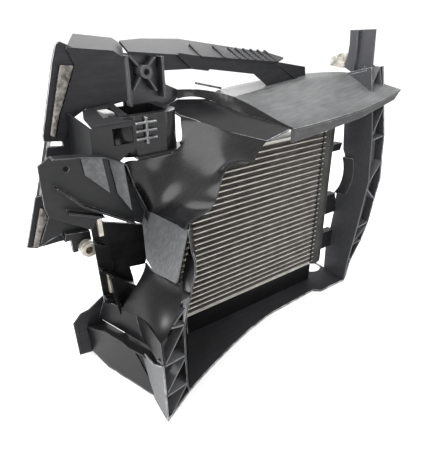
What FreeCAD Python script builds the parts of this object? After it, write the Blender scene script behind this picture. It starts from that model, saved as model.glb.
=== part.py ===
import FreeCAD, Part
import math
import os
from FreeCAD import Matrix, Placement, Rotation, Vector

# Auxiliary radiator in its moulded air duct, in millimetres.
# X runs along the core tubes to the right, Y away from the open mouth, Z up.
# Y is 0 on the front face of the core, and Z is 0 under the duct floor.

doc = FreeCAD.newDocument("AuxiliaryRadiator")

# Driving dimensions
driving = {
    "tubeCount": 28,          # flat tubes in the core
    "tubePitch": 8.8,         # from one tube to the next
    "tubeThick": 2.0,
    "coreWidth": 262,         # tube length between the two tanks
    "coreDepth": 26,
    "coreBase": 40,           # height of the lowest tube over the duct floor
    "finClear": 1.0,          # fins stop this far inside the tubes' edges
    "tankDiameter": 31,
    "tankOverrun": 8,         # tank past the outer tubes, each end
    "tankRound": 5,
    "capDiameter": 22,
    "capThick": 2,
    "sidePlateThick": 2.5,
    "pinDiameter": 8,
    "pinLength": 12,
    "grommetDiameter": 18,
    "spigotDiameter": 20,
    "spigotBore": 15,
    "spigotLength": 31,
    "spigotInset": 30,        # spigot axis from the end of its tank
    "collarDiameter": 27,
    "collarThick": 3,         # flat seat between tank and spigot
    "sideGap": 19,            # right tank to right wall
    "wall": 3,                # thickness of the moulded walls
    "skin": 2.5,              # thickness of the outer skins
    "rib": 2,                 # thickness of the stiffening ribs
    "ribDepth": 14,           # depth of the open pockets in the mouth's edge
    "lipHeight": 19,
    "frontReach": 117,        # from the core face to the foremost corner
    "outletReach": 153,       # from the left tank to the outlet flange
    "visorReach": 45,         # from the right wall to the visor's tip
    "bossBore": 6.5,
    "bossDiameter": 15,
    "bossLength": 24,
    "bracketHole": 7,
    "foamThick": 8,
    "seatGap": 0.3,           # clearance of loosely seated parts
}

sheet = doc.addObject("Spreadsheet::Sheet", "Sizes")
for row, (name, value) in enumerate(driving.items(), start=1):
    sheet.set("A%d" % row, name)
    sheet.set("B%d" % row, str(value))
    sheet.setAlias("B%d" % row, name)
doc.recompute()


def size(name):
    return float(sheet.get(name))


# Datum lines worked out from the driving dimensions
span = size("coreWidth") + 2 * size("tankDiameter") + size("sideGap")
overall = span + size("outletReach") + size("visorReach")
left = size("outletReach") - overall / 2     # outer end of the left tank
right = left + span                          # inner face of the right wall
tubeLeft = left + size("tankDiameter")
tubeRight = tubeLeft + size("coreWidth")
base = size("coreBase")
top = base + (size("tubeCount") - 1) * size("tubePitch")
middle = size("coreDepth") / 2
rear = size("frontReach")
wall = size("wall")
skin = size("skin")
rib = size("rib")

pieces = []


def upperLeft(dx, y, dz):
    return Vector(left + dx, y, top + dz)


def lowerLeft(dx, y, z):
    return Vector(left + dx, y, z)


def upperRight(dx, y, dz):
    return Vector(right + dx, y, top + dz)


def lowerRight(dx, y, z):
    return Vector(right + dx, y, z)


def keep(obj, label):
    obj.Label = label
    pieces.append(obj)
    return obj


def originPlane(body, role):
    return next(f for f in body.Origin.OriginFeatures if f.Role == role)


def prism(name, corners, thickness, toward, holes=()):
    """Flat plate through 3-D corners, padded on the side that toward points to."""
    start, across = corners[0], (corners[1] - corners[0]).normalize()
    normal = Vector(0, 0, 0)
    for a, b in zip(corners, corners[1:] + corners[:1]):
        normal += (a - start).cross(b - start)
    normal.normalize()
    if normal.dot(toward) < 0:
        normal = normal * -1
    across = (across - normal * across.dot(normal)).normalize()
    up = normal.cross(across)
    body = doc.addObject("PartDesign::Body", name)
    sketch = body.newObject("Sketcher::SketchObject", name + "Outline")
    sketch.AttachmentSupport = [(originPlane(body, "XY_Plane"), "")]
    sketch.MapMode = "FlatFace"
    flat = [Vector((c - start).dot(across), (c - start).dot(up), 0) for c in corners]
    for a, b in zip(flat, flat[1:] + flat[:1]):
        sketch.addGeometry(Part.LineSegment(a, b))
    for centre, radius in holes:
        at = Vector((centre - start).dot(across), (centre - start).dot(up), 0)
        sketch.addGeometry(Part.Circle(at, Vector(0, 0, 1), radius))
    pad = body.newObject("PartDesign::Pad", name + "Pad")
    pad.Profile = sketch
    if isinstance(thickness, str):
        pad.setExpression("Length", "Sizes." + thickness)
    else:
        pad.Length = thickness
    body.Placement = Placement(Matrix(across.x, up.x, normal.x, start.x,
                                      across.y, up.y, normal.y, start.y,
                                      across.z, up.z, normal.z, start.z,
                                      0, 0, 0, 1))
    return body


def bar(name, start, end, width, thickness, wide):
    """Rectangular bar between two points, with its width along the wide direction."""
    along = (end - start).normalize()
    side = (wide - along * wide.dot(along)).normalize()
    thin = along.cross(side)
    box = doc.addObject("Part::Box", name)
    box.Length = (end - start).Length
    box.Width = width
    box.Height = thickness
    corner = start - side * (width / 2) - thin * (thickness / 2)
    box.Placement = Placement(Matrix(along.x, side.x, thin.x, corner.x,
                                     along.y, side.y, thin.y, corner.y,
                                     along.z, side.z, thin.z, corner.z,
                                     0, 0, 0, 1))
    return box


def rod(name, start, axis, radius, length):
    """Round rod whose radius and length are expressions on the sheet or numbers."""
    cyl = doc.addObject("Part::Cylinder", name)
    for prop, value in (("Radius", radius), ("Height", length)):
        if isinstance(value, str):
            cyl.setExpression(prop, value)
        else:
            setattr(cyl, prop, value)
    cyl.Placement = Placement(start, Rotation(Vector(0, 0, 1), axis))
    return cyl


def fused(name, shapes):
    joined = doc.addObject("Part::MultiFuse", name)
    joined.Shapes = shapes
    return joined


def grouped(name, shapes):
    group = doc.addObject("Part::Compound", name)
    group.Links = shapes
    return group


def cut(name, body, tool):
    result = doc.addObject("Part::Cut", name)
    result.Base = body
    result.Tool = tool
    return result


def common(name, a, b):
    result = doc.addObject("Part::MultiCommon", name)
    result.Shapes = [a, b]
    return result


def cleaned(name, obj, least=150):
    """Solids of an object that are more than slivers left by a trim."""
    doc.recompute()
    kept = doc.addObject("Part::Feature", name)
    kept.Shape = Part.makeCompound([s for s in obj.Shape.Solids if s.Volume > least])
    return kept


def swept(name, face, direction, length):
    """Solid made by moving a face along a direction."""
    solid = doc.addObject("Part::Extrusion", name)
    solid.Base = face
    solid.DirMode = "Custom"
    solid.Dir = direction
    if isinstance(length, str):
        solid.setExpression("LengthFwd", "Sizes." + length)
    else:
        solid.LengthFwd = length
    solid.Solid = True
    return solid


def patch(name, grid):
    """Smooth face through a grid of points."""
    surface = Part.BSplineSurface()
    surface.interpolate(grid)
    face = doc.addObject("Part::Feature", name)
    face.Shape = surface.toShape()
    return face


# Core: flat tubes with fins between them
def row(name, width, depth, height, startZ, count, inset):
    body = doc.addObject("PartDesign::Body", name)
    body.AllowCompound = True
    sketch = body.newObject("Sketcher::SketchObject", name + "Section")
    sketch.AttachmentSupport = [(originPlane(body, "YZ_Plane"), "")]
    sketch.MapMode = "FlatFace"
    corners = [Vector(inset, -height / 2, 0), Vector(inset + depth, -height / 2, 0),
               Vector(inset + depth, height / 2, 0), Vector(inset, height / 2, 0)]
    for a, b in zip(corners, corners[1:] + corners[:1]):
        sketch.addGeometry(Part.LineSegment(a, b))
    pad = body.newObject("PartDesign::Pad", name + "Pad")
    pad.Profile = sketch
    pad.Length = width
    doc.recompute()
    pattern = body.newObject("PartDesign::LinearPattern", name + "Pattern")
    pattern.Originals = [pad]
    pattern.Direction = (sketch, ["V_Axis"])
    pattern.setExpression("Length", "Sizes.tubePitch * (%d - 1)" % count)
    pattern.Occurrences = count
    body.Tip = pattern
    body.Placement.Base = Vector(tubeRight - (size("coreWidth") + width) / 2, 0, startZ)
    return body


tankRadius = size("tankDiameter") / 2
tankHeight = top - base + 2 * size("tankOverrun")
tankEntry = tankRadius - math.sqrt(tankRadius ** 2 - middle ** 2)


def tank(label, x):
    cylinder = doc.addObject("Part::Cylinder", label + "Tube")
    cylinder.setExpression("Radius", "Sizes.tankDiameter / 2")
    cylinder.setExpression("Height",
                           "Sizes.tubePitch * (Sizes.tubeCount - 1) + 2 * Sizes.tankOverrun")
    cylinder.Placement.Base = Vector(x, middle, base - size("tankOverrun"))
    doc.recompute()
    ends = doc.addObject("Part::Fillet", label)
    ends.Base = cylinder
    ends.Edges = [(i + 1, size("tankRound"), size("tankRound"))
                  for i, edge in enumerate(cylinder.Shape.Edges)
                  if edge.Closed and not edge.isSeam(cylinder.Shape.Faces[0])]
    return keep(ends, label)


rightTankX = tubeRight + tankRadius
leftTankX = tubeLeft - tankRadius
rightTank = tank("right_header_tank", rightTankX)
leftTank = tank("left_header_tank", leftTankX)

allTubes = row("tubeRow", size("coreWidth") + 2 * tankEntry, size("coreDepth"),
               size("tubeThick"), base, int(size("tubeCount")), 0)
bothTanks = grouped("bothTanks", [rightTank, leftTank])
keep(cut("core_tubes", allTubes, bothTanks), "core_tubes")

finHigh = size("tubePitch") - size("tubeThick")
keep(row("core_fins", size("coreWidth"), size("coreDepth") - 2 * size("finClear"), finHigh,
         base + size("tubePitch") / 2, int(size("tubeCount")) - 1, size("finClear")), "core_fins")

sidePlates = []
for name, z in (("upper", top + size("tubeThick") / 2),
                ("lower", base - size("tubeThick") / 2 - size("sidePlateThick"))):
    plate = doc.addObject("Part::Box", name + "SidePlate")
    plate.setExpression("Length", "Sizes.coreWidth")
    plate.setExpression("Width", "Sizes.coreDepth")
    plate.setExpression("Height", "Sizes.sidePlateThick")
    plate.Placement.Base = Vector(tubeLeft, 0, z)
    sidePlates.append(plate)
keep(grouped("core_side_plates", sidePlates), "core_side_plates")

# Tank ends: pressed caps, locating pins and their rubber grommets
tankTop = top + size("tankOverrun")
tankBottom = base - size("tankOverrun")
caps, pins, grommets = [], [], []
for side, x in (("Right", rightTankX), ("Left", leftTankX)):
    for end, z, up in (("Top", tankTop, 1), ("Bottom", tankBottom, -1)):
        name = side + end
        axis = Vector(0, 0, up)
        caps.append(rod("cap" + name, Vector(x, middle, z), axis,
                        "Sizes.capDiameter / 2", "Sizes.capThick"))
        if name == "RightBottom":
            continue
        seat = z + up * size("capThick")
        pins.append(rod("pin" + name, Vector(x, middle, seat), axis,
                        "Sizes.pinDiameter / 2", "Sizes.pinLength"))
        ring = rod("ring" + name, Vector(x, middle, seat + up * size("seatGap")), axis,
                   "Sizes.grommetDiameter / 2", "Sizes.pinLength - Sizes.seatGap")
        bore = rod("bore" + name, Vector(x, middle, seat), axis,
                   "Sizes.pinDiameter / 2 + Sizes.seatGap", "Sizes.pinLength")
        grommets.append(cut("grommet" + name, ring, bore))
keep(grouped("tank_end_caps", caps), "tank_end_caps")
keep(grouped("core_locating_pins", pins), "core_locating_pins")
keep(grouped("rubber_grommets", grommets), "rubber_grommets")


# Coolant spigots on the back of the left tank
def spigot(label, z):
    start = Vector(leftTankX, middle, z)
    back = Vector(0, 1, 0)
    tube = rod(label + "Tube", start, back, "Sizes.spigotDiameter / 2",
               "Sizes.tankDiameter / 2 + Sizes.collarThick + Sizes.spigotLength")
    collar = rod(label + "Collar", start, back, "Sizes.collarDiameter / 2",
                 "Sizes.tankDiameter / 2 + Sizes.collarThick")
    bore = rod(label + "Bore", start, back, "Sizes.spigotBore / 2",
               "Sizes.tankDiameter + Sizes.spigotLength")
    solid = cut(label + "Solid", fused(label + "Outside", [tube, collar]), bore)
    keep(cut(label, solid, fused(label + "Trim", [leftTank, allTubes])), label)


spigot("coolant_inlet_spigot", tankTop - size("spigotInset"))
spigot("coolant_outlet_spigot", tankBottom + size("spigotInset"))

# Duct mouth: the front edge swings back from the left corner in one concave sweep
down = Vector(0, 0, -1)
upward = Vector(0, 0, 1)
backward = Vector(0, 1, 0)
forward = Vector(0, -1, 0)
rightward = Vector(1, 0, 0)
leftward = Vector(-1, 0, 0)

floorFront = [lowerLeft(-67, -size("frontReach"), 0), lowerLeft(-21, -93, 0),
              lowerLeft(11, -80, 0), lowerLeft(68, -60, 0), lowerLeft(119, -45, 0),
              lowerRight(-175, -35, 0), lowerRight(-102, -31, 0), lowerRight(-70, -29, 0),
              lowerRight(-58, -39, 0), lowerRight(wall, -39, 0)]
floorPanel = prism("floorPlate", floorFront + [
    lowerRight(wall, 48, 0), lowerLeft(-80, 62, 0), lowerLeft(-102, 62, 0),
    lowerLeft(-94, 10, 0), lowerLeft(-64, -71, 0)], "wall", upward,
    holes=[(lowerRight(-17, 28, 0), 18)])
keep(floorPanel, "duct_floor")

# Top visor: a gently bowed plate that rises to the back, with a lip along the mouth
visorFace = patch("visorFace", [
    [upperRight(-152, -34, 27), upperRight(-176, -8, 44), upperRight(-205, 25, 66)],
    [upperRight(-94, -46, 34), upperRight(-100, -5, 53), upperRight(-106, 38, 72)],
    [upperRight(-35, -55, 43), upperRight(-40, -15, 60), upperRight(-47, 24, 78)],
    [upperRight(45, -55, 61), upperRight(25, -25, 71), upperRight(4, 12, 82)]])
visorPlate = swept("visorPlate", visorFace, down, "wall")
ledge = prism("ledgePlate", [
    upperLeft(136, -44, 22), upperLeft(91, -13, 35), upperLeft(75, 1, 42),
    upperLeft(67, 14, 47), upperLeft(53, 26, 52), upperLeft(43, 47, 62),
    upperLeft(67, 57, 67), upperLeft(107, 50, 64), upperLeft(126, 31, 55),
    upperLeft(143, 10, 46), upperLeft(158, -3, 40), upperLeft(187, -33, 27)],
    "wall", down)

lipLine = [upperLeft(136, -44, 0), upperRight(-152, -34, 0), upperRight(-94, -46, 0),
           upperRight(-35, -55, 0), upperRight(45, -55, 0)]
lipStrip = prism("lipStrip", lipLine + [p + backward * skin for p in reversed(lipLine)],
                 90, upward)
visorDepth = swept("visorDepth", visorFace, down, "lipHeight")
lipTaper = prism("lipTaper", [upperRight(-152, -70, 8), upperRight(-94, -70, 19),
                              upperRight(-35, -70, 31), upperRight(33, -70, 47),
                              upperRight(44, -70, 59), upperRight(60, -70, 59),
                              upperRight(60, -70, 0), upperRight(-152, -70, 0)], 80, backward)
visorLip = cut("visorLip", common("lipBlank", lipStrip, visorDepth), lipTaper)
visor = fused("visorMoulding", [visorPlate, visorLip])
keep(visor, "top_visor")

# Rear deck behind the visor, and the step and ledge at the visor's left edge
deckFace = patch("deckFace", [
    [upperRight(-205, 25, 66), upperRight(-208, 44, 68), upperRight(-212, 62, 70)],
    [upperRight(-106, 38, 72), upperRight(-118, 60, 72), upperRight(-130, 82, 73)],
    [upperRight(-47, 24, 78), upperRight(-46, 42, 79), upperRight(-45, 58, 80)],
    [upperRight(4, 12, 82), upperRight(2, 18, 82), upperRight(0, 26, 82)]])
deck = cut("rear_deck", swept("deckPlate", deckFace, down, "wall"), visor)
keep(deck, "rear_deck")
keep(ledge, "left_ledge")

stepLow = [upperLeft(187, -33, 26), upperLeft(167, -12, 35), upperLeft(143, 10, 45),
           upperLeft(129, 27, 52), upperLeft(115, 42, 60), upperLeft(67, 57, 67)]
stepHigh = [upperLeft(191, -34, 28), upperLeft(170, -12, 42), upperLeft(150, 10, 57),
            upperLeft(133, 27, 67), upperLeft(119, 42, 72), upperLeft(67, 57, 79)]
stepEdges = []
for line in (stepLow, stepHigh):
    curve = Part.BSplineCurve()
    curve.interpolate(line)
    stepEdges.append(curve.toShape())
stepSkin = doc.addObject("Part::Feature", "stepSkin")
stepSkin.Shape = Part.makeRuledSurface(stepEdges[0], stepEdges[1])
stepSolid = swept("stepSolid", stepSkin, Vector(0.7, 0.7, 0), "skin")
keep(cut("visor_step_wall", stepSolid, fused("stepTrim", [visor, deck, ledge])),
     "visor_step_wall")

# Left cowl: glossy skin that sweeps from the mouth's edge up to the ledge
cowlFace = patch("cowlFace", [
    [upperLeft(-10, -88, -41), upperLeft(23, -76, -35), upperLeft(46, -68, -17),
     upperLeft(59, -63, 3), upperLeft(85, -55, 5), upperLeft(113, -47, 1),
     upperLeft(136, -44, 21)],
    [upperLeft(-14, -48, -44), upperLeft(8, -48, -35), upperLeft(27, -47, -20),
     upperLeft(43, -44, -4), upperLeft(63, -38, 10), upperLeft(88, -30, 20),
     upperLeft(105, -24, 31)],
    [upperLeft(-20, -6, -47), upperLeft(-7, -16, -30), upperLeft(9, -20, -12),
     upperLeft(27, -17, 5), upperLeft(45, -9, 21), upperLeft(65, -3, 34),
     upperLeft(77, 0, 41)],
    [upperLeft(-40, -5, 18), upperLeft(-25, -5, 18), upperLeft(-7, -5, 17),
     upperLeft(13, -5, 18), upperLeft(31, -4, 22), upperLeft(44, 8, 33),
     upperLeft(53, 25, 52)]])
cowlSkin = doc.addObject("Part::Feature", "cowlSkin")
cowlSkin.Shape = cowlFace.Shape.makeOffsetShape(-skin, 0.01, fill=True)
cowl = cut("left_cowl", cowlSkin, ledge)
keep(cowl, "left_cowl")

# Left side of the mouth: facet below the cowl, then panels down to the floor
facet = cut("left_facet", prism("facetPlate", [
    upperLeft(-11, -89, -40), upperLeft(-33, -98, -96), upperLeft(-39, -55, -102),
    upperLeft(-38, -34, -96), upperLeft(-25, -4, -61), upperLeft(-20, 0, -47)],
    "skin", rightward), cowl)
sidePanelFace = patch("sidePanelFace", [
    [lowerLeft(-33, -99, 182), lowerLeft(-26, -95, 168), lowerLeft(-33, -99, 150),
     lowerLeft(-50, -108, 133), lowerLeft(-66, -117, 126)],
    [lowerLeft(-37, -52, 172), lowerLeft(-40, -56, 163), lowerLeft(-46, -58, 150),
     lowerLeft(-54, -60, 134), lowerLeft(-61, -61, 120)],
    [lowerLeft(-35, -22, 169), lowerLeft(-40, -26, 161), lowerLeft(-48, -25, 148),
     lowerLeft(-58, -18, 128), lowerLeft(-71, -14, 106)]])
sidePanel = cut("side_panel", swept("sidePanelPlate", sidePanelFace, rightward, "skin"), facet)
sideStep = cut("side_step", prism("stepPlate", [
    lowerLeft(-59, -38, 114), lowerLeft(-61, -61, 120), lowerLeft(-66, -116, 126),
    lowerLeft(-65, -116, 93), lowerLeft(-63, -97, 82), lowerLeft(-57, -18, 77)],
    "skin", rightward), sidePanel)
lowerPanel = cut("lower_panel", prism("lowerPlate", [
    lowerLeft(-60, -82, wall), lowerLeft(-72, -48, 62), lowerLeft(-80, -28, 68),
    lowerLeft(-92, 6, 68), lowerLeft(-106, 43, 55), lowerLeft(-106, 44, 17),
    lowerLeft(-94, 10, wall)], "skin", rightward), floorPanel)
cornerPanel = prism("corner_panel", [
    lowerLeft(-67, -117, wall), lowerLeft(-66, -117, 93), lowerLeft(-60, -88, 72),
    lowerLeft(-72, -48, 63), lowerLeft(-60, -86, wall)], "skin", rightward)
recess = cut("recess_panel", prism("recessPlate", [
    lowerLeft(-45, -85, 70), lowerLeft(-82, 40, 66), lowerLeft(-79, 30, 100),
    lowerLeft(-52, -30, 104)], "skin", rightward), sideStep)
shelfPlate = prism("shelfPlate", [
    lowerLeft(-59, -85, 67), lowerLeft(-80, -28, 68), lowerLeft(-92, 6, 68),
    lowerLeft(-106, 43, 60), lowerLeft(-84, 43, 64), lowerLeft(-44, -85, 68)],
    "skin", down)
sideShelf = cut("side_shelf", shelfPlate, fused("shelfTrim", [lowerPanel, cornerPanel]))
for obj, label in ((facet, "left_facet_panel"), (sidePanel, "left_side_panel"),
                   (sideStep, "left_side_step"), (lowerPanel, "left_lower_panel"),
                   (cornerPanel, "left_corner_panel"), (recess, "left_recess_panel"),
                   (sideShelf, "left_side_shelf")):
    keep(obj, label)

# Left inner wall follows the mouth's edge and closes in on the core
innerEdge = [(-41, wall), (-43, 20), (-43, 70), (-42, 115), (-37, 133), (-30, 153),
             (-24, 173), (-23, 189), (-27, 205), (-30, 235)]
funnelStart = -130
innerOutline = [lowerLeft(dx, funnelStart, z) for dx, z in innerEdge]
innerOutline += [p - rightward * skin for p in reversed(innerOutline)]
innerFace = doc.addObject("Part::Feature", "innerWallFace")
innerFace.Shape = Part.Face(Part.makePolygon(innerOutline + innerOutline[:1]))
innerRun = swept("innerWallRun", innerFace, Vector(50, 90, 0).normalize(), 146)
mouthPlan = prism("mouthPlan", [p + down * 5 for p in [
    lowerLeft(-107, -139, 0)] + floorFront[:6] + [lowerRight(-175, -2, 0),
                                                lowerLeft(-107, -2, 0)]], 320, upward)
keep(common("left_inner_wall", innerRun, mouthPlan), "left_inner_wall")

# Truss ribs in the left edge's open pockets, in the slanted plane of the mouth
trussLines = [((-51, -109, 134), (-24, -94, 116)), ((-64, -116, 90), (-23, -94, 68)),
              ((-65, -116, 43), (-23, -94, 20)), ((-25, -95, 114), (-63, -115, 90)),
              ((-25, -95, 66), (-64, -115, 45)), ((-27, -96, 20), (-60, -113, wall)),
              ((-45, -106, 132), (-23, -94, 137)), ((-37, -101, 154), (-2, -84, 145))]
leftRibs = []
for i, (a, b) in enumerate(trussLines):
    shift = backward * (size("ribDepth") / 2)
    leftRibs.append(bar("leftRib%d" % i, lowerLeft(*a) + shift, lowerLeft(*b) + shift,
                        size("ribDepth"), rib, backward))
leftPocket = prism("leftPocket", [
    lowerLeft(-66, -117, wall), lowerLeft(-65, -116, 126), lowerLeft(-50, -108, 134),
    lowerLeft(-33, -99, 151), lowerLeft(-25, -95, 166), lowerLeft(-4, -84, 166),
    lowerLeft(-4, -84, wall)], size("ribDepth"), backward)
innerBeyond = doc.addObject("Part::Feature", "innerBeyondFace")
beyondOutline = [lowerLeft(dx, funnelStart, z) - rightward * skin for dx, z in innerEdge]
beyondOutline += [p + rightward * 60 for p in reversed(beyondOutline)]
innerBeyond.Shape = Part.Face(Part.makePolygon(beyondOutline + beyondOutline[:1]))
beyondRun = swept("beyondRun", innerBeyond, Vector(50, 90, 0).normalize(), 146)
trussBlank = common("leftTrussBlank", fused("leftRibBars", leftRibs), leftPocket)
trussTrim = fused("leftTrussTrim", [beyondRun, cornerPanel, sideStep, sidePanel, facet])
keep(cleaned("leftTruss", cut("leftTrussCut", trussBlank, trussTrim)), "left_truss_ribs")

# Right wall with a round relief for the hose, and its outer skin
sideFront = [(-39, wall), (-41, 46), (-46, 86), (-50, 122), (-53, 159), (-57, 201),
             (-53, 236), (-50, 270), (-43, 309), (-39, 333), (-31, 371)]
rearLine = [(18, 358), (8, 300), (5, 283), (2, 254), (0, 240), (3, 125), (6, 93), (11, 55),
            (9, wall)]
reliefCentre = upperRight(0, 53, -73)
reliefRadius = 64
wallPlate = prism("rightWallPlate", [lowerRight(0, y, z) for y, z in sideFront + rearLine],
                  "wall", rightward)
relief = rod("reliefBore", reliefCentre - rightward * 20, rightward, reliefRadius, 60)
rimClip = doc.addObject("Part::Box", "rimClip")
rimClip.Length, rimClip.Width, rimClip.Height = 7, 80, 66
rimClip.Placement.Base = reliefCentre + Vector(-7, -80, -40)
rimTaper = doc.addObject("Part::Cone", "rimTaper")
rimTaper.Radius1, rimTaper.Radius2, rimTaper.Height = reliefRadius + 1, reliefRadius + 16, 7
rimTaper.Placement = Placement(reliefCentre - rightward * 7, Rotation(Vector(0, 0, 1), rightward))
hood = cut("hood", common("hoodBlank", rimTaper, rimClip), relief)
keep(hood, "hose_relief_hood")

skinLine = [(2, wall), (7, 37), (22, 80), (28, 116), (29, 160), (30, 197), (30, 230),
            (30, 272), (28, 314), (27, 345), (26, 371)]
skinProfile = [lowerRight(dx, -70, z) for dx, z in skinLine]
skinSlab = prism("skinSlab", skinProfile + [p + rightward * skin for p in
                                            reversed(skinProfile)], 100, backward)
bandPlan = prism("bandPlan", [lowerRight(0, y, z) for y, z in sideFront + [
    (18, 358), (0, 240), (9, wall)]], 60, rightward)
pocketPlan = prism("pocketPlan", [lowerRight(0, y, z) for y, z in sideFront]
                   + [lowerRight(0, y + size("ribDepth"), z) for y, z in
                      reversed(sideFront)], 60, rightward)
bandInside = prism("bandInside", [lowerRight(wall, -70, z) for _, z in skinLine[::-1]]
                   + skinProfile, 100, backward)
bandLines = [((3, 317), (28, 320)), ((3, 266), (30, 270)), ((3, 270), (28, 316)),
             ((3, 196), (30, 232)), ((3, 190), (29, 160)), ((3, 114), (28, 119)),
             ((3, 79), (22, 83)), ((3, 82), (28, 115)), ((3, 44), (10, 48)),
             ((3, 12), (9, 44)), ((3, 346), (15, 370)), ((27, 346), (15, 370))]
rightRibs = []
for i, (a, b) in enumerate(bandLines):
    rightRibs.append(bar("rightRib%d" % i, lowerRight(a[0] - 4, -30, a[1]),
                         lowerRight(b[0] + 4, -30, b[1]), 80, rib, backward))
pocketFloor = prism("pocketFloor", [lowerRight(0, y + size("ribDepth"), z)
                                    for y, z in sideFront]
                    + [lowerRight(0, y + size("ribDepth") + rib, z) for y, z in
                       reversed(sideFront)], 60, rightward)
webs = common("rightWebs", fused("rightRibBars", rightRibs), pocketPlan)
truss = common("rightTruss", fused("rightTrussSolid", [webs, pocketFloor]), bandInside)
overVisor = swept("overVisor", visorFace, upward, 90)
overDeck = swept("overDeck", deckFace, upward, 90)
topPlates = fused("topPlates", [visor, deck])
overTop = fused("overTop", [overVisor, overDeck])
wallOpen = cut("rightWallOpen", cut("rightWallRelief", wallPlate, relief), topPlates)
rightWall = cut("right_wall", wallOpen, overTop)
keep(rightWall, "right_wall")
outer = cut("rightSkinOpen", common("rightSkinBand", skinSlab, bandPlan), topPlates)
trussOpen = cut("rightTrussOpen", truss, fused("trussPlates", [topPlates, wallPlate, skinSlab]))
tabCap = prism("tabCap", [upperRight(0, 12, 81), upperRight(0, -22, 91),
                          upperRight(30, -22, 90), upperRight(30, 12, 81)], "skin", down)
keep(cut("right_outer_skin", outer, fused("skinTrim", [tabCap, wallPlate])),
     "right_outer_skin")
rightTruss = cleaned("rightTruss", cut("rightTrussCut", trussOpen, tabCap))
keep(rightTruss, "right_truss_ribs")

# Above the visor the wall carries on as the foot of a screw tab
tabFoot = cut("tabFoot", common("tabFootBlank", wallOpen, overTop), tabCap)
tabEdge = [(24, 141), (-20, 143), (-22, 118), (-24, 92), (12, 82), (27, 88), (23, 102),
           (22, 122)]
tabPlate = prism("tabPlate", [upperRight(10, y, dz) for y, dz in tabEdge], "wall",
                 rightward)
tabRib = bar("tabRib", upperRight(7, 4, 84), upperRight(7, 5, 141), 2 * wall, rib,
             rightward)
tab = cut("screw_tab", fused("tabBlank", [tabPlate, tabRib]),
          fused("tabTrim", [tabCap, topPlates, rightTruss]))
tabFootOpen = cut("tabFootOpen", grouped("tabFootPair", [tabFoot, tabCap]), topPlates)
keep(cleaned("tabFootKept", tabFootOpen), "screw_tab_foot")
keep(tab, "screw_tab")
keep(prism("tab_foam_pad", [upperRight(9, y, dz) for y, dz in [
    (27.3, 86), (58, 88), (57, 98), (50, 104), (38, 108), (24, 109), (24.3, 102)]], 13,
    rightward), "tab_foam_pad")

# Tower behind the cowl: rounded hose shroud over the left tank
shroud = doc.addObject("Part::Box", "shroudBlank")
shroud.Length, shroud.Width, shroud.Height = 82, 66, 46
shroud.Placement.Base = upperLeft(-42, 0, 20)
doc.recompute()
corners = [i + 1 for i, e in enumerate(shroud.Shape.Edges)
           if abs(e.tangentAt(0).z) > 0.9 and e.Vertexes[0].Y < 1]
rounded = doc.addObject("Part::Fillet", "shroudRounded")
rounded.Base = shroud
rounded.Edges = [(i, 22, 22) for i in corners]
hollow = doc.addObject("Part::Box", "shroudHollow")
hollow.Length, hollow.Width, hollow.Height = 82 - 2 * 12, 66 - 12 - wall, 50
hollow.Placement.Base = upperLeft(-30, 12, 20 + wall)
towerCut = cut("towerHollow", rounded, hollow)
pinRoom = rod("pinRoom", Vector(leftTankX, middle, tankTop), upward,
              "Sizes.grommetDiameter / 2 + Sizes.seatGap", 2 * size("pinLength"))
keep(cut("hose_shroud_tower", towerCut, fused("towerTrim", [ledge, cowl, pinRoom])),
     "hose_shroud_tower")

# Bracket plate at the far left, with its edge ribs and two light gussets
plateY = -4
bracketEdge = [(-117, 317), (-90, 314), (-64, 309), (-56, 305), (-41, 296), (-34, 268),
               (-20, 231), (-24, 213), (-39, 222), (-76, 241), (-88, 224), (-131, 253),
               (-133, 264), (-131, 309)]


def onBracket(point, forwardBy=0):
    return lowerLeft(point[0], plateY - forwardBy, point[1])


bracketPlate = prism("bracketPlate", [onBracket(p) for p in bracketEdge], "skin", backward,
                     holes=[(onBracket((-104, 301)), size("bracketHole") / 2)])
ribRuns = [bracketEdge[:8], [(-117, 284), (-95, 259), (-39, 222)], [(-110, 255), (-76, 241)]]
bracketRibs = []
for i, run in enumerate(ribRuns):
    for j, (a, b) in enumerate(zip(run, run[1:])):
        a3, b3 = onBracket(a, 6), onBracket(b, 6)
        past = (b3 - a3).normalize() * rib
        bracketRibs.append(bar("bracketRib%d_%d" % (i, j), a3 - past, b3 + past, 12, rib,
                               forward))
gussets = [prism("gusset%d" % i, [onBracket(p, f) for p, f in run], rib, backward)
           for i, run in enumerate([
               [((-88, 313), 2), ((-86, 291), 2), ((-64, 268), 10), ((-68, 311), 10)],
               [((-58, 306), 2), ((-52, 262), 2), ((-41, 240), 10), ((-44, 297), 10)]])]
ribRegion = prism("ribRegion", [onBracket(p) for p in bracketEdge], 14, forward)
ribsInside = common("ribsInside", fused("allBracketRibs", bracketRibs), ribRegion)
besideCowl = fused("besideCowl", [cowl, facet])
sideBracket = cut("side_bracket", fused("bracketSolid", [bracketPlate, ribsInside]),
                  besideCowl)
keep(sideBracket, "side_bracket")
bracketSide = fused("bracketSide", [sideBracket, cowl, facet])
keep(cleaned("gussetsKept", cut("gussetsCut", grouped("gussetPair", gussets), bracketSide)),
     "bracket_gussets")

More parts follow.
